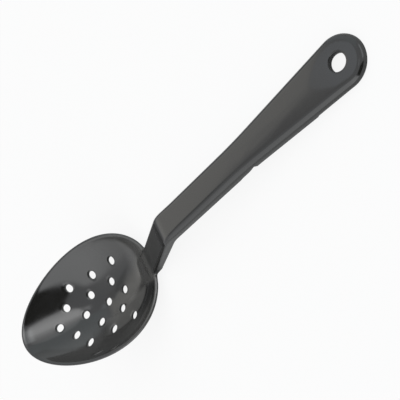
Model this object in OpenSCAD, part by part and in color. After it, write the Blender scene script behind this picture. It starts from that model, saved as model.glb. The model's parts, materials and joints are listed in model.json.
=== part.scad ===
/* [Bowl] */
// Length of the bowl, from its tip to its rear rim
bowl_length = 106; // [95:1:120]
// Width of the bowl across the middle of its length
bowl_width = 71.2; // [60:0.5:84]
// Depth of the bowl's inside below its rim
bowl_depth = 21.2; // [16:0.5:24]
// Thickness of the bowl's wall, whose rim is fully rounded
bowl_wall = 2.1; // [1.8:0.1:3]
// How much fuller the half next to the handle is than an ellipse
bowl_fullness_share = 0.18; // [0:0.01:0.22]
// Power of the curve from the middle of the bowl out to its rim
bowl_curve_power = 1.4; // [1.2:0.05:2.2]
// Share of the way out over which the bowl's bottom is rounded
bowl_bottom_share = 0.3; // [0.1:0.05:0.5]
// Share of the depth that is gained in the steeper wall next to the rim
bowl_wall_share = 0.15; // [0:0.01:0.2]
// Power of the curve of that steeper wall
bowl_wall_power = 8; // [5:1:10]

/* [Drain holes] */
// Diameter of a drain hole
drain_d = 5.1; // [3:0.1:6.5]
// Distance between holes in one line, along the spoon
drain_pitch = 17.9; // [14:0.5:19]
// Distance between neighbouring lines of holes, across the spoon
drain_line_gap = 9.6; // [8:0.1:11]
// Place of the rearmost holes, from the middle of the bowl's length
drain_rear = 21.7; // [16:0.5:24]
// How far the rearmost hole of the middle line is moved towards the tip, clear of the neck's root
drain_root_shift = 2.1; // [0:0.5:4]

/* [Neck] */
// Angle of the neck above the bowl's rim plane
neck_slope = 48; // [42:0.5:55]
// Height of the bend above the bowl's rim plane
neck_rise = 33.7; // [26:1:42]
// How far inside the rear rim the neck's face crosses the rim plane
neck_inset = 3.6; // [3:0.1:6]
// Width of the neck and of the slim part of the handle
neck_width = 16.4; // [13:0.1:18]
// Depth of the neck's sides where they leave the bowl
neck_root_depth = 5.4; // [5:0.1:7]
// Depth of the neck's root tongue where it fades into the bowl's inside
tongue_blend = 2.4; // [1:0.1:3]
// Radius of the neck's upper edges
neck_edge_r = 2; // [0.8:0.1:2.4]

/* [Handle] */
// Angle of the handle above the bowl's rim plane
handle_slope = 20.7; // [14:0.5:28]
// Length of the handle, from the bend's corner to its rounded end
handle_length = 144; // [120:1:180]
// Radius of the bend, on the top face
bend_r = 18; // [10:0.5:20]
// Width of the handle at its rounded end
end_width = 24.2; // [20:0.2:30]
// Length of the slim part of the handle, beyond which it widens
slim_length = 66; // [50:1:80]
// Thickness of the handle's top web
web = 3.2; // [3.2:0.1:3.4]
// Thickness of the handle's side walls
side_wall = 2.4; // [2:0.1:3]
// Depth of the sides at the bend
bend_depth = 6.3; // [6.3:0.1:8]
// Depth of the sides where the channel ends
channel_end_depth = 5.3; // [5.3:0.1:6.2]
// Radius of the handle's upper edges
handle_edge_r = 3; // [2:0.1:3.2]
// Height of the crown along the middle of the handle
crown = 0.6; // [0.3:0.1:1]

/* [Pan notch] */
// Place of the notch in the handle's sides, from the bend's corner
notch_start = 58; // [40:1:75]
// Length of the notch
notch_length = 12; // [8:0.5:16]
// Depth of the notch at its shoulder
notch_depth = 2.2; // [1:0.1:2.2]

/* [Hanging end] */
// Length of the hanging end, beyond the channel's deeper sides
hanging_length = 34; // [31:1:44]
// Depth of the sides just beyond the channel
end_start_depth = 4.6; // [4.4:0.1:5.2]
// Depth of the sides at the rounded tip of the handle
end_depth = 3.4; // [3.2:0.1:4]
// Diameter of the hanging hole
hanging_d = 8.3; // [5:0.1:11]
// Thickness of the flat pad round the hanging hole
pad_thick = 3.3; // [2.6:0.1:3.6]
// Length of the flat pad, from where it begins to cut into the crown
pad_length = 28; // [24:1:30]
// Angle by which the flat pad falls towards the end
pad_tilt = 1.9; // [1:0.1:2.4]

/* [Hidden] */
plastic = [0.16, 0.16, 0.17];
// one overrun for all cuts
overrun = 2;
ring_count = 12;
spoke_count = 72;
rim_steps = 6;
bend_steps = 8;
end_steps = 14;
pad_steps = 6;
root_steps = 8;
across_steps = 7;

// half sizes of the middle surface of the bowl's wall, in plan
half_wall = bowl_wall / 2;
mid_long = bowl_length / 2 - half_wall;
mid_wide = bowl_width / 2 - half_wall;

// where the neck's root lies, as shares of the way from the bowl's middle to its rear rim
root_inner_share = 0.7;
root_outer_share = 0.96;

// depth of the root where it crosses the rim plane, as a share of the neck's depth
root_rim_share = 0.75;

// height of the tongue's underside and of its sunk edges above the wall's middle, as shares of half the wall
tongue_low_share = 0.25;
tongue_edge_share = 0.75;
// how far the tongue starts beneath the bowl's inside, as a share of half the wall
tongue_sink_share = 0.15;

// the bend's corner, in the plane along the spoon
foot_x = bowl_length / 2 - neck_inset;
bend_corner = [foot_x + neck_rise / tan(neck_slope), neck_rise];
bend_turn = neck_slope - handle_slope;
bend_reach = bend_r * tan(bend_turn / 2);
slim_half = neck_width / 2;

// the rounded end, and the straight flare that runs tangent to it
end_r = end_width / 2;
end_centre = handle_length - end_r;
channel_length = handle_length - hanging_length;
pad_start = handle_length - pad_length;
flare_run = end_centre - slim_length;
flare_angle = asin(end_r / norm([slim_half, flare_run])) - atan2(slim_half, flare_run);
flare_end = end_centre - end_r * sin(flare_angle);

// the neck's face leaves the bowl at this place, measured back from the bend's corner
neck_start = neck_root_depth + half_wall - neck_rise / sin(neck_slope);

// the notch's outline: place as a share of its length, depth as a share of its depth
notch_shares = [[0, 0], [0.15, 0.2], [0.5, 0.28], [0.72, 0.5], [0.9, 0.95], [0.94, 1], [1, 0]];

function mix(a, b, share) = a + (b - a) * min(1, max(0, share));

// smooth maximum of a and b, which blends within a difference of k
function soft_max(a, b, k) = max(a, b) + pow(max(k - abs(a - b), 0), 2) / (4 * k);

// The bowl

bottom_base = pow(bowl_bottom_share, bowl_curve_power);
bottom_span = pow(1 + pow(bowl_bottom_share, 2), bowl_curve_power / 2) - bottom_base;

// height gained at share r of the way out, as a share of the depth, and its rate
function gained(r) =
    (1 - bowl_wall_share) * (pow(r * r + pow(bowl_bottom_share, 2), bowl_curve_power / 2) - bottom_base)
        / bottom_span
    + bowl_wall_share * pow(r, bowl_wall_power);
function gain_rate(r) =
    (1 - bowl_wall_share) * bowl_curve_power * r
        * pow(r * r + pow(bowl_bottom_share, 2), bowl_curve_power / 2 - 1) / bottom_span
    + bowl_wall_share * bowl_wall_power * pow(r, bowl_wall_power - 1);

function egg_across(a) = sin(a) * (1 + bowl_fullness_share * cos(a));
function wall_mid(r, a) = [
    r * mid_long * cos(a),
    r * mid_wide * egg_across(a),
    -half_wall - bowl_depth * (1 - gained(r))];
function wall_out(r, a) = [
    mid_long * cos(a),
    mid_wide * egg_across(a),
    bowl_depth * gain_rate(r)];
function wall_round(a) = [
    -mid_long * sin(a),
    mid_wide * (cos(a) + bowl_fullness_share * cos(2 * a)),
    0];
function unit(v) = v / norm(v);
function wall_normal(r, a) = unit(cross(wall_out(r, a), wall_round(a)));
function inside(r, a) = wall_mid(r, a) + half_wall * wall_normal(r, a);
function outside(r, a) = wall_mid(r, a) - half_wall * wall_normal(r, a);
function rim(b, a) = wall_mid(1, a) + half_wall * (cos(b) * wall_normal(1, a)
    + sin(b) * unit(cross(wall_round(a), wall_normal(1, a))));

spokes = [for (i = [0 : spoke_count - 1]) 360 * i / spoke_count];
bowl_rows = concat(
    [for (i = [1 : ring_count]) [for (a = spokes) inside(i / ring_count, a)]],
    [for (k = [1 : rim_steps - 1]) [for (a = spokes) rim(180 * k / rim_steps, a)]],
    [for (i = [ring_count : -1 : 1]) [for (a = spokes) outside(i / ring_count, a)]]);
bowl_middle_in = [0, 0, -bowl_depth];
bowl_middle_out = [0, 0, -bowl_depth - bowl_wall];

// faces between rows of equal length that close on themselves
function band_faces(rows, count) = [
    for (i = [0 : rows - 2]) for (j = [0 : count - 1]) let (
        a = i * count + j,
        b = i * count + (j + 1) % count)
    each [[a, b, b + count], [a, b + count, a + count]]];

module bowl_shell() {
    rows = len(bowl_rows);
    last = (rows - 1) * spoke_count;
    points = concat([for (row = bowl_rows) each row], [bowl_middle_in, bowl_middle_out]);
    middle_in = rows * spoke_count;
    middle_out = middle_in + 1;
    polyhedron(points, concat(
        band_faces(rows, spoke_count),
        [for (j = [0 : spoke_count - 1]) [middle_in, (j + 1) % spoke_count, j]],
        [for (j = [0 : spoke_count - 1]) [middle_out, last + j, last + (j + 1) % spoke_count]]));
}

// holes along each line, as [place in steps of the pitch, line across]
drain_places = [
    for (line = [-2 : 2], step = [0 : 3])
    if (line == 0 || step < 3)
    [drain_rear - drain_pitch * (step + (abs(line) == 1 ? 1 / 2 : 0))
        - (line == 0 && step == 0 ? drain_root_shift : 0), drain_line_gap * line]];

module drain_holes() {
    for (place = drain_places)
        translate([place.x, place.y, -bowl_depth - bowl_wall - overrun])
            cylinder(d = drain_d, h = bowl_depth + bowl_wall + 2 * overrun, $fn = 32);
}

// The bar: the neck and handle, swept along their top line. t runs from the bend's corner

function line_angle(t) = mix(neck_slope, handle_slope, (t + bend_reach) / (2 * bend_reach));
function line_point(t) = let (a = line_angle(t))
    t <= -bend_reach ? bend_corner + t * [cos(a), sin(a)]
    : t >= bend_reach ? bend_corner + t * [cos(a), sin(a)]
    : bend_corner - bend_reach * [cos(neck_slope), sin(neck_slope)]
        + bend_r * [sin(neck_slope) - sin(a), cos(a) - cos(neck_slope)];
function on_bar(t, y, n) = let (a = line_angle(t), p = line_point(t))
    [p.x - n * sin(a), y, p.y + n * cos(a)];

function half_width(t) =
    t <= slim_length ? slim_half
    : t <= flare_end ? slim_half + (t - slim_length) * tan(flare_angle)
    : sqrt(end_r * end_r - pow(t - end_centre, 2));
function inset(t, y) = t <= flare_end ? half_width(t) - abs(y) : end_r - norm([t - end_centre, y]);
function edge_r(t) = mix(neck_edge_r, handle_edge_r, (t + bend_reach) / (4 * bend_reach));
function edge_drop(t, d) = let (r = edge_r(t), e = max(r - max(d, 0), 0)) r - sqrt(r * r - e * e);
function crown_at(t, d) = let (
    grown = mix(0, crown, t / slim_length),
    share = min(1, d / half_width(min(t, flare_end))))
    grown * (1 - pow(1 - share, 2));
function pad_at(t) = crown - (t - pad_start) * tan(pad_tilt);
function top_at(t, y) = let (d = max(inset(t, y), 0))
    min(crown_at(t, d), pad_at(t)) - edge_drop(t, d);

function notch_at(t) = let (share = (t - notch_start) / notch_length)
    share <= 0 || share >= 1 ? 0 : notch_depth * lookup(share, notch_shares);
function channel_depth(t) = t <= 0
    ? mix(neck_root_depth, bend_depth, 1 - t / neck_start)
    : mix(bend_depth, channel_end_depth, t / channel_length) - notch_at(t);
function pad_depth(t) = mix(end_start_depth, end_depth,
    (t - channel_length) / (handle_length - channel_length));

across = [for (j = [-across_steps : across_steps]) sin(90 * j / across_steps)];
function top_row(t) = [for (k = across) let (y = k * half_width(t)) on_bar(t, y, top_at(t, y))];
function channel_row(t) = let (w = half_width(t), v = w - side_wall, h = channel_depth(t))
    concat(top_row(t), [
        on_bar(t, w, -h), on_bar(t, v, -h), on_bar(t, v, -web),
        on_bar(t, -v, -web), on_bar(t, -v, -h), on_bar(t, -w, -h)]);
function solid_row(t) = let (w = half_width(t), h = pad_depth(t))
    concat(top_row(t), [on_bar(t, w, -h), on_bar(t, -w, -h)]);

// a row's outline as convex polygons, which close a sweep's two ends
across_count = len(across);
function solid_caps(count) = [[for (j = [0 : count - 1]) j]];
channel_caps = let (c = across_count) [
    concat([for (j = [0 : c - 1]) j], [c + 2, c + 3]),
    [c - 1, c, c + 1, c + 2],
    [0, c + 3, c + 4, c + 5]];

module sweep(rows, caps) {
    count = len(rows[0]);
    last = (len(rows) - 1) * count;
    polyhedron([for (row = rows) each row], concat(
        band_faces(len(rows), count),
        [for (cap = caps) [for (j = [len(cap) - 1 : -1 : 0]) cap[j]]],
        [for (cap = caps) [for (j = cap) last + j]]));
}

// the neck's root, from the tongue inside the bowl to where the channel starts
function neck_coords(p) = [
    (p.x - foot_x) * cos(neck_slope) + p.z * sin(neck_slope),
    p.z * cos(neck_slope) - (p.x - foot_x) * sin(neck_slope)];
foot_t = -neck_rise / sin(neck_slope);
root_rings = [for (i = [0 : root_steps]) mix(root_inner_share, root_outer_share, i / root_steps)];
function root_top(n) = soft_max(0, n + half_wall * (1 - tongue_sink_share), tongue_blend);
function root_row(t, n, low, edge) = concat(
    [for (k = across) let (y = k * slim_half) on_bar(t, y, max(edge, n - edge_drop(t, slim_half - abs(y))))],
    [on_bar(t, slim_half, low), on_bar(t, -slim_half, low)]);
root_inner_rows = [
    for (r = root_rings) let (c = neck_coords(wall_mid(r, 0)))
    if (c.y + half_wall < tongue_blend)
    root_row(foot_t + c.x, root_top(c.y), c.y + tongue_low_share * half_wall, c.y + tongue_edge_share * half_wall)];
root_rows = concat(root_inner_rows, [
    root_row(foot_t, 0, -neck_root_depth * root_rim_share, -neck_edge_r),
    root_row(neck_start, 0, -neck_root_depth, -neck_edge_r)]);

// how far round the rounded end its rows go, short of the one place where they would have no width
last_turn = 88;

// How the spoon lies: the bowl's belly and the handle's end both on the table

function lowest_slope(p, ends) = min([for (q = ends) atan2(q.z - p.z, q.x - p.x)]);
belly = [for (i = [1 : 4 * ring_count]) outside(i / (4 * ring_count), 0)];
end_turns = [for (i = [0 : end_steps - 1]) last_turn * i / (end_steps - 1)];
end_places = [for (a = end_turns) end_centre + end_r * sin(a)];
end_bottom = [for (t = end_places) on_bar(t, 0, -pad_depth(t))];
lie_angle = max([for (p = belly) lowest_slope(p, end_bottom)]);
function lay(p) = [
    p.x * cos(lie_angle) + p.z * sin(lie_angle),
    p.y,
    p.z * cos(lie_angle) - p.x * sin(lie_angle)];
end_points = [for (t = end_places) each solid_row(t)];
bowl_x = [for (row = bowl_rows, p = row) lay(p).x];
low_z = min(min([for (p = end_points) lay(p).z]), min([for (row = bowl_rows, p = row) lay(p).z]));
middle_x = (min(bowl_x) + max([for (p = end_points) lay(p).x])) / 2;

module lying() {
    translate([-middle_x, 0, -low_z]) rotate([0, lie_angle, 0]) children();
}

// Sub-parts

module bowl() {
    color(plastic) lying() {
        difference() {
            bowl_shell();
            drain_holes();
        }
        sweep(root_rows, solid_caps(across_count + 2));
    }
}

bend_places = [for (i = [0 : bend_steps]) bend_reach * (2 * i / bend_steps - 1)];

module neck() {
    places = concat([neck_start], [for (t = bend_places) if (t <= 0) t]);
    color(plastic) lying() sweep([for (t = places) channel_row(t)], channel_caps);
}

module handle() {
    notch_places = [for (s = notch_shares) notch_start + notch_length * s.x];
    before = [for (i = [1 : 3]) mix(bend_reach, notch_start, i / 4)];
    after = [for (i = [1 : 4]) mix(notch_start + notch_length, channel_length, i / 4)];
    places = concat([for (t = bend_places) if (t >= 0) t], before, notch_places, after);
    color(plastic) lying() sweep([for (t = places) channel_row(t)], channel_caps);
}

// places in the flat pad's own frame, whose axis is the hanging hole's
module on_pad() {
    p = on_bar(end_centre, 0, pad_at(end_centre));
    translate(p) rotate([0, pad_tilt - handle_slope, 0]) children();
}

module hanging_end() {
    places = concat(
        [for (i = [0 : pad_steps]) mix(channel_length, end_centre, i / pad_steps)],
        [for (t = end_places) if (t > end_centre) t]);
    color(plastic) lying() difference() {
        sweep([for (t = places) solid_row(t)], solid_caps(across_count + 2));
        on_pad() {
            translate([0, 0, -pad_thick - end_depth])
                linear_extrude(end_depth) {
                    circle(r = end_r - side_wall, $fn = 64);
                    polygon([
                        [0, end_r - side_wall], [0, side_wall - end_r],
                        [channel_length - end_centre - overrun, side_wall - half_width(channel_length)],
                        [channel_length - end_centre - overrun, half_width(channel_length) - side_wall]]);
                }
            translate([0, 0, -pad_thick - overrun])
                cylinder(d = hanging_d, h = pad_thick + 2 * overrun, $fn = 48);
        }
    }
}

bowl();
neck();
handle();
hanging_end();
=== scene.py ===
# Moulded serving spoon with drain holes, lying on a table
import bpy
import bmesh
import json
import numpy as np
from math import sin, cos, tan, asin, atan, atan2, sqrt, pi, radians, degrees
from mathutils import Matrix, Vector
from mathutils.geometry import delaunay_2d_cdt


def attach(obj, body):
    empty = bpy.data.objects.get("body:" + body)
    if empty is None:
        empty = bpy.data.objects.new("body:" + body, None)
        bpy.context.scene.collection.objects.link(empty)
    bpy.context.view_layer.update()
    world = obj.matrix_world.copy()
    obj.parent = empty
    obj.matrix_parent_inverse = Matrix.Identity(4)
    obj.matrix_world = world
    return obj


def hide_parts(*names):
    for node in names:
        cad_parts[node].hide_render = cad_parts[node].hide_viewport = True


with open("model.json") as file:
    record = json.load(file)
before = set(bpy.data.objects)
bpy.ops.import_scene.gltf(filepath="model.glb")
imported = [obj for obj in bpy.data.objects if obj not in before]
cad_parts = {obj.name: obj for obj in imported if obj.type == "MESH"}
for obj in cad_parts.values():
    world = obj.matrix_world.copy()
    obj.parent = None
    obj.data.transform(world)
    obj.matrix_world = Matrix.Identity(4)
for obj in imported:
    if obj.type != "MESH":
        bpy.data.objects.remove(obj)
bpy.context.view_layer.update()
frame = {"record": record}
scene = bpy.context.scene
print("frame loaded")

# The shape is worked out in mm, in the bowl's own frame: rim level, handle rising along x


def mix(a, b, share):
    return a + (b - a) * np.clip(share, 0, 1)


def smoothShare(share):
    s = np.clip(share, 0, 1)
    return s * s * (3 - 2 * s)


def stepAt(t, place, length):
    # a smooth step with its middle at the place
    return smoothShare((t - place) / length + 0.5)


def softMax(a, b, k):
    return np.maximum(a, b) + np.maximum(k - np.abs(a - b), 0) ** 2 / (4 * k)


def softMin(a, b, k):
    return -softMax(-a, -b, k)


def upTo(start, end, count):
    # evenly spaced values after the start, the end among them
    return np.linspace(start, end, count + 1)[1:]


def between(start, end, count):
    # evenly spaced values, neither end among them
    return np.linspace(start, end, count + 2)[1:-1]


def circle(radius, count):
    a = np.linspace(0, 2 * pi, count, endpoint=False)
    return radius * np.cos(a), radius * np.sin(a)


def planArea(flat):
    # the area inside a loop of flat points, below zero when it runs clockwise
    x, y = (flat - flat[0]).T
    return np.sum(x * np.roll(y, -1) - np.roll(x, -1) * y) / 2


def hexGrid(low, high, step):
    rows = np.arange(low[1], high[1], step * sqrt(3) / 2)
    columns = np.arange(low[0], high[0], step)
    return np.array([(x + (i % 2) * step / 2, y) for i, y in enumerate(rows) for x in columns])


class Skin:
    # collects points and faces of one closed mesh
    def __init__(self):
        self.points, self.faces, self.count = [], [], 0

    def add(self, points):
        points = np.asarray(points, float).reshape(-1, 3)
        ids = np.arange(self.count, self.count + len(points))
        self.points.append(points)
        self.count += len(points)
        return ids

    def strip(self, a, b, closed=False):
        n = len(a) if closed else len(a) - 1
        for i in range(n):
            j = (i + 1) % len(a)
            self.faces.append((a[i], a[j], b[j], b[i]))

    def fill(self, flat, ids, outline, holes):
        # triangles inside the outline, with round holes left open
        edges = [pair for loop in [outline] + holes for pair in zip(loop, loop[1:] + loop[:1])]
        allTriangles, sameWithin = 0, 1e-7
        done = delaunay_2d_cdt([Vector(p) for p in flat], edges, [], allTriangles, sameWithin, True)
        origin = [group[0] for group in done[3]]
        holeOf = {i: number for number, hole in enumerate(holes) for i in hole}
        turn = planArea(flat[outline])
        for face in done[2]:
            corners = [origin[i] for i in face]
            inHole = {holeOf.get(i, -1) for i in corners}
            # a triangle over a hollow stretch of the outline turns the other way round
            outside = max(corners) < len(outline) and planArea(flat[sorted(corners)]) * turn < 0
            if (len(inHole) > 1 or -1 in inHole) and not outside:
                self.faces.append(tuple(ids[i] for i in corners))


skin = Skin()

# The bowl's wall: a middle surface with the same thickness to both sides

bowl = {
    "length": 106,
    "width": 71.2,
    "depth": 21.2,
    "wall": 2.1,
    "fullness": 0.18,        # how much rounder the half next to the handle is
    "curvePower": 1.4,
    "bottomShare": 0.3,      # the bottom is rounded over this share of the way out
    "wallShare": 0.15,       # share of the depth gained in the steeper wall by the rim
    "wallPower": 8,
    "spokes": 220,
    "rimSteps": 10,
    "riseLeft": 0.6,         # share of the rim's rise by the neck that is left at its outer edge
    "riseRings": 2,          # it is gone this many rings beyond the neck's foot
    "bandStart": 0.8,        # the rim's band of faces begins at this share of the way out
    "bandRings": 11,
    "outerRings": (1, 0.987, 0.974, 0.96, 0.94, 0.92, 0.9, 0.88, 0.86, 0.84, 0.82, 0.8),
    "grid": 1.2,             # spacing of the points in the bowl's floor
    "bandGap": 0.75,         # room they leave to the band and to a hole, in spacings
    "holeGap": 0.7,
    "tableSteps": 7201,      # fineness of the tables that angles are looked up in
    "runSteps": 4000,
    "solveRounds": 8,
}
halfWall = bowl["wall"] / 2
midLong = bowl["length"] / 2 - halfWall
midWide = bowl["width"] / 2 - halfWall


def eggPoint(a):
    return np.stack([midLong * np.cos(a), midWide * np.sin(a) * (1 + bowl["fullness"] * np.cos(a))], -1)


def eggTangent(a):
    return np.stack([-midLong * np.sin(a), midWide * (np.cos(a) + bowl["fullness"] * np.cos(2 * a))], -1)


turnTable = np.linspace(-pi, pi, bowl["tableSteps"])
eggTable = eggPoint(turnTable)
headingTable = np.unwrap(np.arctan2(eggTable[:, 1], eggTable[:, 0]))


def turnAt(p):
    return np.interp(np.arctan2(p[:, 1], p[:, 0]), headingTable, turnTable)


def depthGained(share):
    # height gained on the way out, as a share of the depth, and its rate
    power, base = bowl["curvePower"], bowl["bottomShare"] ** 2
    steep, wall = bowl["wallPower"], bowl["wallShare"]
    low = base ** (power / 2)
    span = (1 + base) ** (power / 2) - low
    curve = (share ** 2 + base) ** (power / 2) - low
    slope = power * share * (share ** 2 + base) ** (power / 2 - 1)
    return ((1 - wall) * curve / span + wall * share ** steep,
            (1 - wall) * slope / span + wall * steep * share ** (steep - 1))


def wallAt(p):
    # middle surface over plan points, and its upward normal
    a = turnAt(p)
    edge, along = eggPoint(a), eggTangent(a)
    share = np.hypot(p[:, 0], p[:, 1]) / np.hypot(edge[:, 0], edge[:, 1])
    out = np.stack([along[:, 1], -along[:, 0]], -1)
    out /= (out * edge).sum(-1)[:, None]
    gained, rate = depthGained(share)
    normal = np.column_stack([-bowl["depth"] * rate[:, None] * out, np.ones(len(p))])
    normal /= np.linalg.norm(normal, axis=1)[:, None]
    return np.column_stack([p, -halfWall - bowl["depth"] * (1 - gained)]), normal


def sheetAt(p, side):
    # the bowl's surface over plan points: side 1 is the inside, -1 the outside
    middle, normal = wallAt(p)
    return middle + side * halfWall * normal


def sheetUnder(target, side):
    # plan points of the middle surface whose sheet point lies over the target
    p = target.copy()
    for _ in range(bowl["solveRounds"]):
        p = target - side * halfWall * wallAt(p)[1][:, :2]
    return p


# The neck's face runs down into the bowl as a tongue

neck = {
    "slope": 48,
    "rise": 33.7,
    "inset": 3.6,
    "width": 16.4,
    "rootDepth": 5.4,
    "edge": 2.0,
    "blend": 3.2,            # height over which the tongue melts into the bowl
    "flankSlope": 1.1,
    "footRing": 3,           # the underside meets the bowl at this outer ring
    "footDepth": 3.1,
    "footLead": 2,           # how far before the foot its depth starts to grow
    "channelFrom": 5,        # from the foot to where the channel sets in, and its run-in
    "channelRun": 9,
    "firstSection": -33.0,   # first square section, from the bend's corner
    "stations": 12,
    "meeting": 7,            # the bowl's part ends at this station
    "fanTurn": 0.5,          # the fan of lines is sought within this turn, in radians
    "fanSteps": 2001,
    "fairing": (2.5, 7.0),   # the root is faired fully within the first distance, not beyond the second
    "fairSearch": 25,
    "fairRounds": 12,
    "fairShare": 0.5,
}
footX = bowl["length"] / 2 - neck["inset"]
neckSlope = radians(neck["slope"])
halfNeck = neck["width"] / 2
bendX = footX + neck["rise"] / tan(neckSlope)
footT = -neck["rise"] / sin(neckSlope)


def flankDrop(y):
    r, reach = neck["edge"], sin(atan(neck["flankSlope"]))
    a = np.abs(y) - (halfNeck - r)
    s = np.clip(a / r, 0, reach)
    return r * (1 - np.sqrt(1 - s * s)) + np.maximum(a - r * reach, 0) * neck["flankSlope"]


def raised(p):
    face = (p[:, 0] - footX) * tan(neckSlope) - flankDrop(p[:, 1]) / cos(neckSlope)
    return np.column_stack([p[:, :2], softMax(p[:, 2], face, neck["blend"])])


# The bar: neck and handle along one bent line, t from the bend's corner, n up from its top face

handle = {
    "slope": 20.7,
    "length": 144,
    "bendRadius": 18,
    "endWidth": 24.2,
    "slimLength": 66,
    "flareSoftness": 10,
    "web": 3.2,
    "sideWall": 2.4,
    "bendDepth": 6.3,
    "channelEndDepth": 5.3,
    "leastChannel": 0.03,    # the ceiling stays this far above the side walls' lower edges
    "edge": 3.0,
    "crown": 0.6,
    "lip": 0.4,              # rounding of the side walls' lower edges
    "lipShare": 0.45,        # its greatest share of a shallow channel's depth
}
notch = {
    "start": 58,
    "length": 12,
    "depth": 2.2,
    "endWall": 1.2,          # length of the steep wall that closes it
    "places": (0, 0.15, 0.5, 0.72, 0.9, 0.94, 1),   # its course, in shares of its length and depth
    "shares": (0, 0.2, 0.28, 0.5, 0.95, 1, 0),
}
pad = {
    "length": 28,
    "hangingLength": 34,
    "stepLength": 1.2,
    "roofStep": 3,           # length over which the channel's ceiling runs into the pad's underside
    "startDepth": 4.6,
    "endDepth": 3.4,
    "thickness": 3.3,
    "tilt": 1.9,
    "hole": 8.3,
    "holeEdge": 0.35,
    "edgeRings": 5,
    "holeSteps": 64,
    "crease": 0.025,         # in the middle, where the crown and the pad meet at the least angle
    "creaseSpread": 5,       # how much wider the crease is at the edges
    "stepRoom": 1,           # the sections lie close this far to both sides of the step
    "grid": 0.8,
    "borderGap": 0.7,        # room that the grid leaves to the border and the hole, in spacings
    "holeGap": 0.6,
    "sheetStart": 113.0,     # from here on the faces run round the end
    "straightSteps": 13,
    "endTurnStep": 4,
}
handleSlope, padTilt = radians(handle["slope"]), radians(pad["tilt"])
bendReach = handle["bendRadius"] * tan((neckSlope - handleSlope) / 2)
endRadius = handle["endWidth"] / 2
endCentre = handle["length"] - endRadius
channelLength = handle["length"] - pad["hangingLength"]
padStart = handle["length"] - pad["length"]
flareRun = endCentre - handle["slimLength"]
flareAngle = asin(endRadius / sqrt(halfNeck ** 2 + flareRun ** 2)) - atan2(halfNeck, flareRun)
flareEnd = endCentre - endRadius * sin(flareAngle)


def onBar(t, y, n):
    t, y, n = np.broadcast_arrays(np.asarray(t, float), y, n)
    a = mix(neckSlope, handleSlope, (t + bendReach) / (2 * bendReach))
    r = handle["bendRadius"]
    startX = bendX - bendReach * cos(neckSlope)
    startZ = neck["rise"] - bendReach * sin(neckSlope)
    bentX, bentZ = startX + r * (sin(neckSlope) - np.sin(a)), startZ + r * (np.cos(a) - cos(neckSlope))
    x = np.where(t <= -bendReach, bendX + t * cos(neckSlope),
                 np.where(t >= bendReach, bendX + t * cos(handleSlope), bentX))
    z = np.where(t <= -bendReach, neck["rise"] + t * sin(neckSlope),
                 np.where(t >= bendReach, neck["rise"] + t * sin(handleSlope), bentZ))
    return np.stack([x - n * np.sin(a), y + 0 * t, z + n * np.cos(a)], -1)


def halfWidth(t):
    u, soft = np.minimum(t, flareEnd) - handle["slimLength"], handle["flareSoftness"]
    grown = np.where(u < -soft, 0, np.where(u > soft, u, (u + soft) ** 2 / (4 * soft)))
    return halfNeck + tan(flareAngle) * grown


def edgeRadius(t):
    # grows from the neck's to the handle's over twice the bend's length
    return mix(neck["edge"], handle["edge"], (t + bendReach) / (4 * bendReach))


def padLevel(t):
    return handle["crown"] - (t - padStart) * tan(padTilt)


def topLevel(t, y):
    half = halfWidth(t)
    d = np.where(t <= flareEnd, half - np.abs(y), endRadius - np.hypot(t - endCentre, y))
    share = np.clip(d / half, 0, 1)
    crown = mix(0, handle["crown"], smoothShare(t / handle["slimLength"])) * (1 - (1 - share) ** 2)
    return softMin(crown, padLevel(t), pad["crease"] * (1 + pad["creaseSpread"] * (1 - share)))


def sideDepth(t):
    start, lead = neck["rootDepth"] + halfWall + footT, neck["footLead"]
    root = mix(neck["footDepth"], neck["rootDepth"], (t - footT + lead) / (start - footT + lead))
    inNeck = mix(root, handle["bendDepth"], (t - start) / -start)
    cut = np.interp((t - notch["start"]) / notch["length"], notch["places"], notch["shares"])
    inHandle = mix(handle["bendDepth"], handle["channelEndDepth"], t / channelLength) - notch["depth"] * cut
    atEnd = mix(pad["startDepth"], pad["endDepth"], (t - channelLength) / pad["hangingLength"])
    return np.where(t < 0, inNeck, mix(inHandle, atEnd, stepAt(t, channelLength, pad["stepLength"])))


def ceilingDepth(t):
    under = pad["thickness"] / cos(padTilt) - padLevel(t)
    depth = mix(handle["web"], under, stepAt(t, channelLength, pad["roofStep"]))
    runIn = smoothShare((t - footT - neck["channelFrom"]) / neck["channelRun"])
    return np.minimum(mix(sideDepth(t), depth, runIn), sideDepth(t) - handle["leastChannel"])


# One half of the bar's section, from the inner line of its upper edge round to the channel's ceiling

profile = {"edge": 7, "side": 10, "outerLip": 3, "base": 2, "innerLip": 3, "innerWall": 3, "fillet": 3}
profileCount = sum(profile.values())
stretch = {}
for name, last in zip(profile, np.cumsum(list(profile.values()))):
    stretch[name] = slice(last - profile[name], last)
topLines, roofLines = 11, 9


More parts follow.
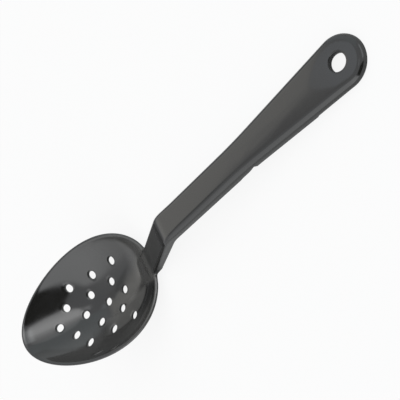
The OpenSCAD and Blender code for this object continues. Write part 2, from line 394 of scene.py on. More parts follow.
def halfSection(t, y, inward):
    # t, y is a place on the outline and inward a unit vector in the plane of the top face
    r, wall = edgeRadius(t), handle["sideWall"]
    lip = min(handle["lip"], handle["lipShare"] * (sideDepth(t) - ceilingDepth(t)))
    edge = np.linspace(0, pi / 2, profile["edge"])
    quarter = upTo(0, pi / 2, profile["fillet"])
    a = np.concatenate([
        r * (1 - np.sin(edge)), np.zeros(profile["side"]), lip * (1 - np.cos(quarter)),
        [wall / 2, wall - lip], wall - lip + lip * np.sin(quarter), [wall] * profile["innerWall"],
        wall + lip * (1 - np.cos(quarter))])
    tt, yy = t + inward[0] * a, y + inward[1] * a
    low, roof = -sideDepth(tt), -ceilingDepth(tt)
    n = topLevel(tt, yy)
    n[stretch["edge"]] -= r * (1 - np.cos(edge))
    part = stretch["side"]
    n[part] = mix(n[part.start - 1], low[part] + lip, upTo(0, 1, profile["side"]))
    n[stretch["outerLip"]] = low[stretch["outerLip"]] + lip * (1 - np.sin(quarter))
    n[stretch["base"]] = low[stretch["base"]]
    n[stretch["innerLip"]] = low[stretch["innerLip"]] + lip * (1 - np.cos(quarter))
    part = stretch["innerWall"]
    n[part] = mix(n[part.start - 1], roof[part] - lip, upTo(0, 1, profile["innerWall"]))
    n[stretch["fillet"]] = roof[stretch["fillet"]] - lip * (1 - np.sin(quarter))
    return tt, yy, n


def section(t):
    # the whole closed outline of the bar's section, right half first
    _, yy, n = halfSection(t, float(halfWidth(t)), (0, -1))
    roof = between(yy[-1], -yy[-1], roofLines)
    flat = between(-yy[0], yy[0], topLines)
    y = np.concatenate([yy, roof, -yy[::-1], flat])
    level = np.concatenate([n, np.full(roofLines, n[-1]), n[::-1], topLevel(np.full(topLines, t), flat)])
    return y, level


# Rings and spokes of the bowl; the fan is the stretch of the rear rim that the neck grows from

fanTurns = np.linspace(-neck["fanTurn"], neck["fanTurn"], neck["fanSteps"])
fanY = sheetAt(eggPoint(fanTurns), 1)[:, 1]
edgeCount = profile["edge"]
edgeTurns = np.linspace(0, pi / 2, edgeCount)
fanRight = halfNeck - neck["edge"] * (1 - np.sin(edgeTurns))
fanLines = np.concatenate([-fanRight[::-1], between(-fanRight[0], fanRight[0], topLines), fanRight])
fan = np.interp(fanLines, fanY, fanTurns)
fineTurns = np.linspace(fan[-1], 2 * pi - fan[-1], bowl["runSteps"])
steps = np.linalg.norm(np.diff(eggPoint(fineTurns), axis=0), axis=1)
run = np.concatenate([[0], np.cumsum(steps)])
openTurns = np.interp(np.linspace(0, run[-1], bowl["spokes"] + 1), run, fineTurns)
spokeCount = len(openTurns)

# inner sheet's band, spokes counted from the fan's right edge round to its left edge and back through it
innerTurns = np.concatenate([openTurns, fan[1:-1]])
rings = np.linspace(bowl["bandStart"], 1, bowl["bandRings"] + 1)
innerBand = [skin.add(raised(sheetAt(s * eggPoint(innerTurns), 1))) for s in rings]
for low, high in zip(innerBand, innerBand[1:]):
    skin.strip(low, high, closed=True)

# rim, which rises a little towards the neck
rimMiddle, rimNormal = wallAt(eggPoint(openTurns))
along = np.column_stack([eggTangent(openTurns), np.zeros(spokeCount)])
outward = np.cross(along, rimNormal)
outward /= np.linalg.norm(outward, axis=1)[:, None]
flatRim = sheetAt(eggPoint(openTurns), 1)
rise = raised(flatRim)[:, 2] - flatRim[:, 2]
rimRows = [innerBand[-1][:spokeCount]]
rimSteps = bowl["rimSteps"]
for k in range(1, rimSteps):
    b = pi * k / rimSteps
    row = rimMiddle + halfWall * (cos(b) * rimNormal + sin(b) * outward)
    row[:, 2] += rise * mix(1, bowl["riseLeft"], k / rimSteps)
    rimRows.append(skin.add(row))

# outer sheet's band; inside the fan it stops at the neck's foot
footRing = neck["footRing"]
underLines = 2 * (profileCount - edgeCount - rimSteps - footRing) + roofLines
underTurns = np.concatenate([openTurns, between(fan[0], fan[-1], underLines)])
outerBand = []
for i, s in enumerate(bowl["outerRings"]):
    row = sheetAt(s * eggPoint(openTurns if i < footRing else underTurns), -1)
    row[:spokeCount, 2] += rise * mix(bowl["riseLeft"], 0, i / (footRing + bowl["riseRings"]))
    outerBand.append(skin.add(row))
openRows = [row[:spokeCount] for row in outerBand[:footRing + 1]]
for a, b in zip(rimRows + openRows, rimRows[1:] + openRows):
    skin.strip(a, b)
for a, b in zip(outerBand[footRing:], outerBand[footRing + 1:]):
    skin.strip(a, b, closed=True)
print("bowl's bands and rim built")

# Drain holes, straight down through the wall with softly rounded edges

drain = {
    "diameter": 5.1,
    "pitch": 17.9,
    "lineGap": 9.6,
    "rear": 21.7,
    "rootShift": 2.1,
    "edge": 0.22,
    "edgeRings": 4,
    "steps": 40,
}
drainPlaces = []
for line in range(-2, 3):
    for step in range(4 if line == 0 else 3):
        x = drain["rear"] - drain["pitch"] * (step + (0.5 if abs(line) == 1 else 0))
        drainPlaces.append((x - (drain["rootShift"] if line == step == 0 else 0), line * drain["lineGap"]))


def drainRing(place, radius):
    x, y = circle(radius, drain["steps"])
    return np.column_stack([place[0] + x, place[1] + y])


def roundedMouth(place, side):
    # rings from the sheet down to the hole's straight wall
    radius, edge = drain["diameter"] / 2, drain["edge"]
    rows = []
    for a in np.linspace(0, pi / 2, drain["edgeRings"]):
        plan = drainRing(place, radius + edge * (1 - sin(a)))
        z = sheetAt(sheetUnder(plan, side), side)[:, 2] - side * edge * (1 - cos(a))
        rows.append(skin.add(np.column_stack([plan, z])))
    for a, b in zip(rows, rows[1:]):
        skin.strip(a, b, closed=True)
    return rows[0], rows[-1]


mouths = {side: [roundedMouth(place, side) for place in drainPlaces] for side in (1, -1)}
for top, under in zip(mouths[1], mouths[-1]):
    skin.strip(top[1], under[1], closed=True)


def fillFloor(side, turns, band):
    mouthRadius = drain["diameter"] / 2 + drain["edge"]
    flat = [bowl["bandStart"] * eggPoint(turns)]
    ids = [band]
    for place, mouth in zip(drainPlaces, mouths[side]):
        flat.append(sheetUnder(drainRing(place, mouthRadius), side))
        ids.append(mouth[0])
    grid = hexGrid((-midLong, -midWide), (midLong, midWide), bowl["grid"])
    room = bowl["bandStart"] * np.linalg.norm(eggPoint(turnAt(grid)), axis=1) - np.linalg.norm(grid, axis=1)
    keep = room > bowl["bandGap"] * bowl["grid"]
    for ring in flat[1:]:
        keep &= np.linalg.norm(grid - ring.mean(0), axis=1) > mouthRadius + bowl["holeGap"] * bowl["grid"]
    grid = grid[keep]
    points = sheetAt(grid, side)
    ids.append(skin.add(raised(points) if side == 1 else points))
    starts = np.cumsum([0] + [len(part) for part in flat])
    loops = [list(range(a, b)) for a, b in zip(starts, starts[1:])]
    skin.fill(np.concatenate(flat + [grid]), np.concatenate(ids), loops[0], loops[1:])


fillFloor(1, innerTurns, innerBand[0])
fillFloor(-1, underTurns, outerBand[-1])
print("bowl's floor and drain holes built")

# The neck's root: lines run from the bowl's rim and outer sheet to the first square section

allPoints = np.concatenate(skin.points)
rightEdge = [row[0] for row in rimRows + openRows]
leftEdge = [row[-1] for row in rimRows + openRows]
fanIds = list(innerBand[-1][spokeCount - 1:]) + [innerBand[-1][0]]
footIds = list(outerBand[footRing][spokeCount:])
rootLoop = (fanIds[-edgeCount:] + rightEdge[1:] + footIds[::-1] + leftEdge[:0:-1]
            + fanIds[:edgeCount] + fanIds[edgeCount:-edgeCount])
rootPoints = allPoints[rootLoop]
rootT = (rootPoints[:, 0] - footX) * cos(neckSlope) + rootPoints[:, 2] * sin(neckSlope) + footT
lineCount = len(rootLoop)


def sectionPoint(t, line):
    y, n = section(t)
    return onBar(t, y[line], n[line])


startGap = np.array([rootPoints[i] - sectionPoint(rootT[i], i) for i in range(lineCount)])
bowlFaces = len(skin.faces)
loops = [np.array(rootLoop)]
for k in range(1, neck["stations"] + 1):
    share = k / neck["stations"]
    row = [sectionPoint(mix(rootT[i], neck["firstSection"], share), i) + startGap[i] * (1 - share) ** 2
           for i in range(lineCount)]
    loops.append(skin.add(row))

# The rest of the neck, the bend and the handle as square sections: where each stretch ends, and how many

notchEnd = notch["start"] + notch["length"]
barStretches = (
    (-bendReach - 1, 13), (-bendReach, 1), (bendReach, 12),
    (notch["start"], 21), (notchEnd - notch["endWall"], 19), (notchEnd, 6),
    (channelLength - pad["stepRoom"], 17), (channelLength + pad["stepRoom"], 8), (pad["sheetStart"], 2))
places = [neck["firstSection"]]
for last, count in barStretches:
    places += list(upTo(places[-1], last, count))
for t in places[1:]:
    y, n = section(t)
    loops.append(skin.add(onBar(t, y, n)))
for a, b in zip(loops, loops[1:]):
    skin.strip(a, b, closed=True)
ringStarts = np.array([rootT.min()] * neck["stations"] + places)
meetings = [neck["meeting"], int(np.argmin(abs(ringStarts))), int(np.argmin(abs(ringStarts - channelLength)))]
print("neck and handle built, parts meet at", [round(float(ringStarts[k]), 1) for k in meetings])

# The hanging end: half sections round the rounded outline, closed by a top and an under sheet

sheetStart = pad["sheetStart"]
lastTurn = pi / 2 + flareAngle
outline = []
straight = upTo(sheetStart, flareEnd, pad["straightSteps"])
for t in straight:
    a = mix(pi / 2, lastTurn, (t - sheetStart) / (flareEnd - sheetStart))
    outline.append((t, float(halfWidth(t)), a))
turnCount = round(2 * degrees(lastTurn) / pad["endTurnStep"])
for a in between(lastTurn, -lastTurn, turnCount - 1):
    outline.append((endCentre + endRadius * cos(a), endRadius * sin(a), a))
outline += [(t, -y, -a) for t, y, a in outline[len(straight) - 1::-1]]

endLoop = loops[-1]
y, n = section(sheetStart)
edgeFlat = {line: [] for line in (0, profileCount - 1)}
sweep = [endLoop[:profileCount]]
for t, yy, a in outline:
    tt, side, level = halfSection(t, yy, (-cos(a), -sin(a)))
    sweep.append(skin.add(onBar(tt, side, level)))
    for line in edgeFlat:
        edgeFlat[line].append((tt[line], side[line]))
leftStart = profileCount + roofLines
sweep.append(endLoop[leftStart:leftStart + profileCount][::-1])
for a, b in zip(sweep, sweep[1:]):
    skin.strip(a, b)


def onPad(u, v, w):
    # a place in the flat pad's own frame, whose middle is the hanging hole's
    t = endCentre + u * cos(padTilt) + w * sin(padTilt)
    return t, v, padLevel(endCentre) - u * sin(padTilt) + w * cos(padTilt)


def hangingRing(a, underside):
    # a ring of the hole's rounded edge, counted from the pad's top or its underside
    radius = pad["hole"] / 2 + pad["holeEdge"] * (1 - sin(a))
    sunk = pad["holeEdge"] * (1 - cos(a))
    t, v, n = onPad(*circle(radius, pad["holeSteps"]), -(pad["thickness"] - sunk if underside else sunk))
    return skin.add(onBar(t, v, n)), np.column_stack([t, v])


edgeAngles = np.linspace(0, pi / 2, pad["edgeRings"])
holeRows = [hangingRing(a, False) for a in edgeAngles] + [hangingRing(a, True) for a in edgeAngles[::-1]]
for (a, _), (b, _) in zip(holeRows, holeRows[1:]):
    skin.strip(a, b, closed=True)


def fillEnd(line, crossIds, crossY, hole, levelAt):
    edge, spacing = edgeFlat[line], pad["grid"]
    border = [(sheetStart, y[line])] + edge + [(sheetStart, -y[line])] + [(sheetStart, c) for c in crossY]
    ids = [row[line] for row in sweep] + list(crossIds)
    inner = endRadius - abs(edge[len(edge) // 2][0] - handle["length"])
    grid = hexGrid((sheetStart, -endRadius), (handle["length"], endRadius), spacing)
    fromCentre = np.hypot(grid[:, 0] - endCentre, grid[:, 1])
    limit = halfWidth(grid[:, 0]) - (endRadius - inner)
    room = np.where(grid[:, 0] < endCentre, limit - np.abs(grid[:, 1]), inner - fromCentre)
    keep = (room > pad["borderGap"] * spacing) & (grid[:, 0] > sheetStart + pad["borderGap"] * spacing)
    keep &= fromCentre > pad["hole"] / 2 + pad["holeEdge"] + pad["holeGap"] * spacing
    grid = grid[keep]
    gridIds = skin.add(onBar(grid[:, 0], grid[:, 1], levelAt(grid)))
    a, b = len(border), len(border) + len(hole[1])
    skin.fill(np.concatenate([border, hole[1], grid]), np.concatenate([ids, hole[0], gridIds]),
              list(range(a)), [list(range(a, b))])


overTop = slice(2 * profileCount + roofLines, None)
underRoof = slice(leftStart - 1, profileCount - 1, -1)
fillEnd(0, endLoop[overTop], y[overTop], holeRows[0], lambda g: topLevel(g[:, 0], g[:, 1]))
fillEnd(profileCount - 1, endLoop[underRoof], y[underRoof], holeRows[-1], lambda g: -ceilingDepth(g[:, 0]))
print("hanging end built")

# Glossy moulded plastic, nearly black; what its effects take is listed by the effect's name

gloss = {
    "colour": (0.0098, 0.0099, 0.0098, 1),
    "wornColour": (0.02, 0.0202, 0.0206, 1),
    # colour of the painted light: a lighter grey laid where the bowl's walls, its root and the neck stand in
    # for mirrored light
    "paintedLightColour": (0.09, 0.088, 0.084, 1),
    "roughness": 0.09,
    "ior": 1.58,
    "specular": 0.8,
    "smudgeTint": 0.25,      # shares of the worn colour
    "edgeTint": 0.8,
    # share of the painted light colour laid as painted sheen on the duller stretch of the neck
    "dullPaintedSheen": 0.15,
    "smudgeRoughness": 0.1,
    "scratchRoughness": 0.16,
    "dullRoughness": 0.24,
    "undulation": 0.000006,  # height in metres of the slow waves that a mould leaves
    "scratchDepth": 0.0000012,
    "fineScratches": {"Scale": 90, "Level": 0.5, "Width": 0.03, "Spread": 0.52, "Full": 0.75, "GateScale": 37},
    "smudges": {"Scale": 28, "Start": 0.45, "End": 0.75},
    "mouldWaves": {"Scale": 55, "FineScale": 9, "Fine": 0.1},
    # places are in metres along the lying spoon; this one runs from the tongue to just before the bend
    "dullAndSheenStretch": {"Start": -0.054, "End": -0.008, "Blend": 0.006, "Lean": 0.2, "LeanEnd": 0.6},
    # where the painted reflection lies on the bowl's walls and round its root
    "paintedWallReflection": {
        "Facing": 0.3, "Full": 0.65, "FarFacing": 0.2, "FarFull": 0.45,
        "Tip": -0.11, "End": -0.042, "EndBlend": 0.006, "TipShare": 0.66, "WallShare": 0.6,
        "Root": -0.07, "RootBlend": 0.01, "Middle": 0.08, "MiddleEnd": 0.25,
        "Upward": 0.3, "PaintedBand": 1, "PatchScale": 60, "Patch": 0.3, "Least": 0.85},
    "edgeWear": {"Start": 0.53, "End": 0.62, "Scale": 160, "Breakup": 0.8},
}
scratchLines = {"headings": (0.15, 0.9, -0.7), "tilt": (0.2, 0.1), "shift": 1.7, "stretch": (0.06, 1, 1)}
# the oval band of painted reflection on the bowl's near wall
paintedBandShape = {              # an oval ring in the bowl, cut off beyond its middle and towards the tip
    "shift": (2.7, 0, 0),
    "scale": (29.4, 45.5, 0),
    "innerEdge": (0.39, 0.59),
    "outerEdge": (0.94, 1.06),
    "across": (-0.01, -0.005),
    "tip": (-0.106, -0.092),
}


def feed(tree, socket, value):
    if isinstance(value, bpy.types.NodeSocket):
        tree.links.new(value, socket)
    else:
        socket.default_value = value


def addNode(tree, kind, given=None, **settings):
    node = tree.nodes.new(kind)
    for key, value in settings.items():
        setattr(node, key, value)
    for name, value in (given or {}).items():
        feed(tree, node.inputs[name], value)
    return node


def compute(tree, operation, *values):
    return addNode(tree, "ShaderNodeMath", dict(enumerate(values)), operation=operation).outputs[0]


def softStep(tree, value, low, high, start=0, end=1):
    # goes smoothly from start to end while the value goes from low to high
    given = {"Value": value, "From Min": low, "From Max": high, "To Min": start, "To Max": end}
    return addNode(tree, "ShaderNodeMapRange", given, interpolation_type="SMOOTHSTEP").outputs[0]


def noise(tree, where, scale, detail, roughness=0.5, distortion=0):
    given = {"Vector": where, "Scale": scale, "Detail": detail}
    given.update({"Roughness": roughness, "Distortion": distortion})
    return addNode(tree, "ShaderNodeTexNoise", given).outputs[0]


def split(tree, vector):
    return addNode(tree, "ShaderNodeSeparateXYZ", {0: vector}).outputs


def mixColours(tree, share, a, b):
    # the node's colour sockets share their names with its other kinds, so they are found by type
    node = addNode(tree, "ShaderNodeMix", {"Factor": share}, data_type="RGBA")
    for label, value in (("A", a), ("B", b)):
        feed(tree, next(x for x in node.inputs if x.name == label and x.type == "RGBA"), value)
    return next(x for x in node.outputs if x.type == "RGBA")


def effectGroup(name, output):
    group = bpy.data.node_groups.new(name, "ShaderNodeTree")
    for label, value in gloss[name].items():
        group.interface.new_socket(label, in_out="INPUT", socket_type="NodeSocketFloat").default_value = value
    group.interface.new_socket(output, in_out="OUTPUT", socket_type="NodeSocketFloat")
    start, end = group.nodes.new("NodeGroupInput"), group.nodes.new("NodeGroupOutput")
    surface = addNode(group, "ShaderNodeTexCoord").outputs
    return group, start.outputs, end.inputs[output], surface


def scratchesGroup():
    # thin straight marks in three directions, where a stretched noise passes its level
    group, given, out, surface = effectGroup("fineScratches", "Mask")
    total = 0.0
    for number, heading in enumerate(scratchLines["headings"]):
        turned = addNode(group, "ShaderNodeMapping", {
            "Vector": surface["Object"], "Rotation": (*scratchLines["tilt"], heading),
            "Location": (number * scratchLines["shift"], 0, 0), "Scale": scratchLines["stretch"]}).outputs[0]
        grain = noise(group, turned, given["Scale"], detail=1, roughness=0.4)
        away = compute(group, "ABSOLUTE", compute(group, "SUBTRACT", grain, given["Level"]))
        line = softStep(group, away, 0, given["Width"], 1, 0)
        gate = noise(group, turned, given["GateScale"], detail=2)
        mark = compute(group, "MULTIPLY", line, softStep(group, gate, given["Spread"], given["Full"]))
        total = compute(group, "MAXIMUM", mark, total)
    group.links.new(total, out)
    return group


def smudgeGroup():
    # soft patches left by hands and cloths
    group, given, out, surface = effectGroup("smudges", "Mask")
    patches = noise(group, surface["Object"], given["Scale"], detail=5, roughness=0.6, distortion=0.6)
    group.links.new(softStep(group, patches, given["Start"], given["End"]), out)
    return group


def waveGroup():
    # slow waves of a polished mould, with a trace of finer ones
    group, given, out, surface = effectGroup("mouldWaves", "Height")
    fineScale = compute(group, "MULTIPLY", given["Scale"], given["FineScale"])
    slow = noise(group, surface["Object"], given["Scale"], detail=0)
    fine = noise(group, surface["Object"], fineScale, detail=2)
    group.links.new(compute(group, "MULTIPLY_ADD", fine, given["Fine"], slow), out)
    return group


def dullAndSheenGroup():
    # a stretch of the length that the mould leaves duller, as in the tight corner of the neck; the same mask
    # also lays a painted sheen on the colour there
    group, given, out, surface = effectGroup("dullAndSheenStretch", "Mask")
    along = split(group, surface["Object"])["X"]
    past = compute(group, "SUBTRACT", along, given["Start"])
    before = compute(group, "SUBTRACT", given["End"], along)
    sideways = compute(group, "ABSOLUTE", split(group, surface["Normal"])["Y"])
    mask = softStep(group, sideways, given["Lean"], given["LeanEnd"], 1, 0)
    for distance in (past, before):
        mask = compute(group, "MULTIPLY", softStep(group, distance, 0, given["Blend"]), mask)
    group.links.new(mask, out)
    return group


def paintedReflectionGroup():
    # a painted reflection: a lighter colour on the bowl's two side walls and round its root, standing in for
    # mirrored light
    group, given, out, surface = effectGroup("paintedWallReflection", "Mask")
    where, facing = surface["Object"], split(group, surface["Normal"])
    along, across = (split(group, where)[axis] for axis in ("X", "Y"))
    rootward = softStep(group, along, given["Tip"], given["End"])
    near = softStep(group, facing["Y"], given["Facing"], given["Full"])
    nearShare = addNode(group, "ShaderNodeMapRange", {"Value": rootward, "To Min": given["TipShare"]})
    away = compute(group, "MULTIPLY", facing["Y"], -1)
    far = compute(group, "MULTIPLY", softStep(group, away, given["FarFacing"], given["FarFull"]), rootward)
    walls = compute(group, "MULTIPLY_ADD", near, nearShare.outputs[0], far)
    middle = softStep(group, facing["Y"], given["Middle"], given["MiddleEnd"], 1, 0)
    pastRoot = compute(group, "SUBTRACT", along, given["Root"])
    middle = compute(group, "MULTIPLY", middle, softStep(group, pastRoot, 0, given["RootBlend"]))
    paintedWallsMask = compute(group, "MULTIPLY", compute(group, "MAXIMUM", walls, middle), given["WallShare"])
    # a band of painted reflection round the rear of the near wall
    oval = addNode(group, "ShaderNodeMapping", {
        "Vector": where, "Location": paintedBandShape["shift"], "Scale": paintedBandShape["scale"]}).outputs[0]
    reach = addNode(group, "ShaderNodeVectorMath", {0: oval}, operation="LENGTH").outputs["Value"]
    band = given["PaintedBand"]
    for part in (softStep(group, reach, *paintedBandShape["innerEdge"]),
                 softStep(group, reach, *paintedBandShape["outerEdge"], 1, 0),
                 softStep(group, across, *paintedBandShape["across"], 1, 0),
                 softStep(group, along, *paintedBandShape["tip"])):
        band = compute(group, "MULTIPLY", part, band)
    mask = compute(group, "MAXIMUM", paintedWallsMask, band)
    beforeEnd = compute(group, "SUBTRACT", given["End"], along)
    patches = noise(group, where, given["PatchScale"], detail=4)
    for part in (softStep(group, facing["Z"], 0, given["Upward"]),
                 softStep(group, beforeEnd, 0, given["EndBlend"]),
                 compute(group, "MULTIPLY_ADD", patches, given["Patch"], given["Least"])):
        mask = compute(group, "MULTIPLY", mask, part)
    group.links.new(mask, out)
    return group


def edgeGroup():
    # polished high spots along edges and rims
    group, given, out, surface = effectGroup("edgeWear", "Mask")
    shape = addNode(group, "ShaderNodeNewGeometry")
    edge = softStep(group, shape.outputs["Pointiness"], given["Start"], given["End"])
    patches = noise(group, surface["Object"], given["Scale"], detail=4)
    broken = compute(group, "MULTIPLY", patches, given["Breakup"])
    group.links.new(compute(group, "MULTIPLY", edge, broken), out)
    return group


def useGroup(tree, group):
    node = addNode(tree, "ShaderNodeGroup", node_tree=group)
    for label, value in gloss[group.name].items():
        node.inputs[label].default_value = value
    return node.outputs[0]


def addUp(tree, start, terms):
    # start plus each mask times its share
    total = start
    for mask, share in terms:
        total = compute(tree, "MULTIPLY_ADD", mask, share, total)
    return total


plastic = bpy.data.materials.new("glossPlastic")
plastic.use_nodes = True
tree = plastic.node_tree
shader = tree.nodes["Principled BSDF"]
scratched, smudged = useGroup(tree, scratchesGroup()), useGroup(tree, smudgeGroup())
worn, waved = useGroup(tree, edgeGroup()), useGroup(tree, waveGroup())
dullAndPaintedSheen, paintedLightMask = useGroup(tree, dullAndSheenGroup()), useGroup(tree, paintedReflectionGroup())
tinted = addUp(tree, 0.0, ((smudged, gloss["smudgeTint"]), (worn, gloss["edgeTint"])))
# painted light: the painted reflection on the walls and root, plus a share of painted sheen on the duller
# stretch
paintedLightMask = addUp(tree, 0.0, ((paintedLightMask, 1), (dullAndPaintedSheen, gloss["dullPaintedSheen"])))
colour = mixColours(tree, tinted, gloss["colour"], gloss["wornColour"])
# the painted light lightens the plastic's colour
colour = mixColours(tree, paintedLightMask, colour, gloss["paintedLightColour"])
rough = addUp(tree, gloss["roughness"], (
    (smudged, gloss["smudgeRoughness"]),
    (scratched, gloss["scratchRoughness"]),
    (dullAndPaintedSheen, gloss["dullRoughness"])))
height = addUp(tree, 0.0, ((waved, gloss["undulation"]), (scratched, -gloss["scratchDepth"])))
bump = addNode(tree, "ShaderNodeBump", {"Height": height, "Strength": 1, "Distance": 1})
for label, value in (("Base Color", colour), ("Roughness", rough), ("Normal", bump.outputs["Normal"]),
                     ("IOR", gloss["ior"]), ("Specular IOR Level", gloss["specular"])):
    feed(tree, shader.inputs[label], value)
print("plastic made")

# From the bowl's frame to the lying frame, which the hanging hole's mount gives

mount = frame["record"]["mounts"][0]
lie = handleSlope - padTilt + atan2(mount["axis"][0], mount["axis"][2])
turn = Matrix.Rotation(lie, 3, "Y")
mountHere = Vector(onBar(*onPad(0, 0, -pad["thickness"] / 2)))
mmInMetre = 1000
shift = Vector(mount["pos_m"]) * mmInMetre - turn @ mountHere


def layDown(points):
    # points in mm in the bowl's frame become metres in the lying frame
    return (points @ np.array(turn).T + np.array(shift)) / mmInMetre


def closedMesh(name, points, faces):
    # a smooth mesh with its faces turned outward, and the number of its open edges
    mesh = bpy.data.meshes.new(name)
    mesh.from_pydata([tuple(p) for p in points], [], [tuple(int(i) for i in face) for face in faces])
    work = bmesh.new()
    work.from_mesh(mesh)
    bmesh.ops.recalc_face_normals(work, faces=work.faces)
    openEdges = sum(not edge.is_manifold for edge in work.edges)
    work.to_mesh(mesh)
    work.free()
    mesh.shade_smooth()
    return mesh, openEdges


def addObject(name, data):
    added = bpy.data.objects.new(name, data)
    scene.collection.objects.link(added)
    return added


lying = layDown(np.concatenate(skin.points))
whole, openEdges = closedMesh("whole", lying, skin.faces)
spoon = addObject("whole", whole)
print("spoon:", len(whole.vertices), "points,", len(whole.polygons), "faces, open edges:", openEdges)

# The root is faired like the fillets of a mould
rootLine = layDown(rootPoints)[edgeCount:lineCount - topLines - edgeCount]
near, far, search = (d / mmInMetre for d in (*neck["fairing"], neck["fairSearch"]))
group = spoon.vertex_groups.new(name="root")
for i in np.where(np.linalg.norm(lying - rootLine.mean(0), axis=1) < search)[0]:
    distance = np.linalg.norm(rootLine - lying[i], axis=1).min()
    if distance < far:
        group.add([int(i)], float(1 - smoothShare((distance - near) / (far - near))), "REPLACE")
fair = spoon.modifiers.new("fairRoot", "SMOOTH")
fair.vertex_group = "root"
fair.factor = neck["fairShare"]
fair.iterations = neck["fairRounds"]

# The moulding is parted where the CAD's parts meet; each part is closed and keeps the whole's smooth normals

faired = spoon.evaluated_get(bpy.context.evaluated_depsgraph_get()).to_mesh()
finished = np.empty(len(faired.vertices) * 3)
faired.vertices.foreach_get("co", finished)
finished = finished.reshape(-1, 3)
smooth = np.array([v.vector for v in faired.vertex_normals])
faces = [tuple(face.vertices) for face in faired.polygons]
spoon.to_mesh_clear()
bpy.data.objects.remove(spoon)

partedAt = [0] + [bowlFaces + k * lineCount for k in meetings] + [len(faces)]
parts = {
    "bowlMoulding": "bowl",
    "neckMoulding": "neck",
    "handleMoulding": "handle",
    "endMoulding": "hanging_end",
}
pieces = {}
for number, (name, node) in enumerate(parts.items()):
    caps = [tuple(loops[k]) for k in meetings[max(0, number - 1):number + 1]]
    own = faces[partedAt[number]:partedAt[number + 1]]
    used = sorted({i for face in own for i in face})
    place = {i: k for k, i in enumerate(used)}
    own = [tuple(place[i] for i in face) for face in own + caps]
    mesh, openEdges = closedMesh(name, finished[used], own)
    corner = np.empty((len(mesh.loops), 3))
    for face in mesh.polygons:
        isCap = face.index >= len(own) - len(caps)
        for k in face.loop_indices:
            corner[k] = face.normal if isCap else smooth[used[mesh.loops[k].vertex_index]]
    mesh.normals_split_custom_set([tuple(n) for n in corner])
    mesh.materials.append(plastic)
    pieces[name] = addObject(name, mesh)
    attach(pieces[name], "root")
    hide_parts(node)
    print(name, len(mesh.polygons), "faces, open edges:", openEdges)

# Camera, as the photograph's; places in mm

camera = {
    "place": (247.0, -120.2, 227.8),
    "aim": (27.4, -2.45, 15.0),
    "roll": -97.69,
    "lens": 58.5,
    "clipMetres": 0.01,
}


def aimed(place, aim):
    return Matrix.Translation(place) @ (aim - place).to_track_quat("-Z", "Y").to_matrix().to_4x4()


eye = addObject("camera", bpy.data.cameras.new("camera"))
place, aim = (Vector(camera[key]) / mmInMetre for key in ("place", "aim"))
eye.matrix_world = aimed(place, aim) @ Matrix.Rotation(radians(camera["roll"]), 4, "Z")
eye.data.lens = camera["lens"]
eye.data.clip_start = camera["clipMetres"]
scene.camera = eye

# Floor, and a studio of pale walls with soft panels, lighter and darker ones, the later over the earlier

white = (1, 1, 1, 1)
studio = {
    "floor": (0.8, 0.8, 0.79, 1),
    "floorSize": 6,
    "floorRoughness": 0.9,
    "floorGlow": 0.88,       # share of the floor that the camera sees as plain white
    "walls": (0.66, 0.67, 0.685),
    # colour; how soft the edge is that starts at each corner, as a sine; and the corners, as azimuth
    # and elevation in degrees, anticlockwise seen from the object
    "panels": (
        ((0.73, 0.78, 0.8), (0.1,) * 4, ((100, -5), (100, 55), (35, 55), (35, -5))),
        ((0.57, 0.57, 0.57), (0.08, 0.06, 0.02, 0.03), ((175, 59), (175, 80), (117, 80), (117, 59))),
        ((1.03, 1.02, 0.98), (0.14, 0.02, 0.08, 0.1), ((172, 22), (160, 57), (112, 60), (108, 22))),
        ((0.93, 0.97, 1.02), (0.02, 0.06, 0.1, 0.03), ((117.5, 60), (117.5, 76), (85, 76), (85, 60))),
        ((0.43, 0.44, 0.44), (0.03, 0.02, 0.03, 0.03), ((178, 49), (178, 62), (154, 63), (156, 53))),
        ((1.35, 1.37, 1.4), (0.03,) * 4, ((10, 64), (10, 70), (-27, 70), (-27, 64))),
        ((0.58, 0.61, 0.62), (0.05,) * 4, ((112, -8), (112, 16), (62, 16), (62, -8))),
        ((0.28, 0.28, 0.29), (0.08, 0.08, 0.03, 0.08), ((172, -10), (172, 16), (103, 16), (103, -10))),
        ((1.4, 1.42, 1.43), (0.05, 0.05, 0.5, 0.1), ((-76, -20), (-78, 54), (-138, 60), (-119, -20))),
        ((1.25, 1.3, 1.33), (0.06,) * 4, ((24, 2), (24, 22), (-18, 22), (-18, 2))),
        ((0.062, 0.06, 0.052), (0.07, 0.03, 0.04, 0.1), ((-26, -20), (-36, 46), (-71, 46), (-79, -20))),
    ),
}
box = {                      # a soft box that only the bowl and the neck mirror
    "place": (0.258, 0.083, 0.322),
    "aim": (-0.072, 0.113, 0.012),
    "size": (0.59, 0.43),
    "level": 1.9,
    # its brightness at stops across it and up it
    "X": ((0, 0), (0.05, 0.55), (0.1, 0.75), (0.24, 0.97), (0.31, 1), (0.38, 0.95), (0.51, 0.6), (0.65, 0.35),
          (0.78, 0.22), (0.92, 0.15), (1, 0)),
    "Y": ((0, 0), (0.2, 1), (0.92, 1), (1, 0)),
    "corner": (0.74, 0.86),  # its upper left corner is cut off where up less across passes these
}

bpy.ops.mesh.primitive_plane_add(size=studio["floorSize"])
floor = bpy.context.object
floor.name = "floor"
paper = bpy.data.materials.new("paper")
paper.use_nodes = True
tree = paper.node_tree
shader = tree.nodes["Principled BSDF"]
seen = addNode(tree, "ShaderNodeLightPath").outputs["Is Camera Ray"]
feed(tree, shader.inputs["Roughness"], studio["floorRoughness"])
feed(tree, shader.inputs["Base Color"], mixColours(tree, seen, studio["floor"], white))
glow = addNode(tree, "ShaderNodeEmission", {"Color": white, "Strength": 1})
share = compute(tree, "MULTIPLY", seen, studio["floorGlow"])
both = addNode(tree, "ShaderNodeMixShader", {0: share, 1: shader.outputs[0], 2: glow.outputs[0]})
tree.links.new(both.outputs[0], tree.nodes["Material Output"].inputs["Surface"])
floor.data.materials.append(paper)


def heading(corner):
    a, e = (radians(c) for c in corner)
    return Vector((cos(a) * cos(e), sin(a) * cos(e), sin(e)))


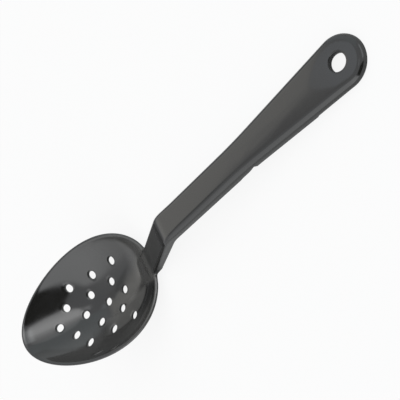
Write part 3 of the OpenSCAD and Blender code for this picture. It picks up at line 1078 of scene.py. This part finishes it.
world = bpy.data.worlds.new("studio")
scene.world = world
world.use_nodes = True
tree = world.node_tree
where = addNode(tree, "ShaderNodeTexCoord").outputs["Generated"]
seenColour = (*studio["walls"], 1)
for colour, softness, corners in studio["panels"]:
    ends = [heading(c) for c in corners]
    inside = 1.0
    for a, b, soft in zip(ends, ends[1:] + ends[:1], softness):
        vectors = {0: where, 1: a.cross(b).normalized()}
        side = addNode(tree, "ShaderNodeVectorMath", vectors, operation="DOT_PRODUCT").outputs["Value"]
        inside = compute(tree, "MULTIPLY", softStep(tree, side, -soft, soft), inside)
    seenColour = mixColours(tree, inside, seenColour, (*colour, 1))
seen = addNode(tree, "ShaderNodeLightPath").outputs["Is Camera Ray"]
sky = tree.nodes["Background"].inputs
feed(tree, sky["Color"], mixColours(tree, seen, seenColour, white))
feed(tree, sky["Strength"], 1)

lamp = bpy.data.lights.new("softBox", "AREA")
lamp.shape = "RECTANGLE"
lamp.size, lamp.size_y = box["size"]
lamp.energy = box["level"] * pi * lamp.size * lamp.size_y
lamp.use_nodes = True
tree = lamp.node_tree
spot = split(tree, addNode(tree, "ShaderNodeTexCoord").outputs["UV"])
bright = softStep(tree, compute(tree, "SUBTRACT", spot["Y"], spot["X"]), *box["corner"], 1, 0)
for axis in ("X", "Y"):
    ramp = addNode(tree, "ShaderNodeValToRGB", {0: spot[axis]})
    ramp.color_ramp.interpolation = "EASE"
    elements = ramp.color_ramp.elements
    for number, (stop, level) in enumerate(box[axis]):
        element = elements[number] if number < 2 else elements.new(stop)
        element.position = stop
        element.color = (level, level, level, 1)
    bright = compute(tree, "MULTIPLY", ramp.outputs["Color"], bright)
feed(tree, tree.nodes["Emission"].inputs["Strength"], bright)
softBox = addObject("softBox", lamp)
softBox.matrix_world = aimed(Vector(box["place"]), Vector(box["aim"]))
softBox.visible_camera = False
mirroring = bpy.data.collections.new("mirroring")
for name in ("bowlMoulding", "neckMoulding"):
    mirroring.objects.link(pieces[name])
softBox.light_linking.receiver_collection = mirroring
print("studio lit")

scene.view_settings.view_transform = "Standard"
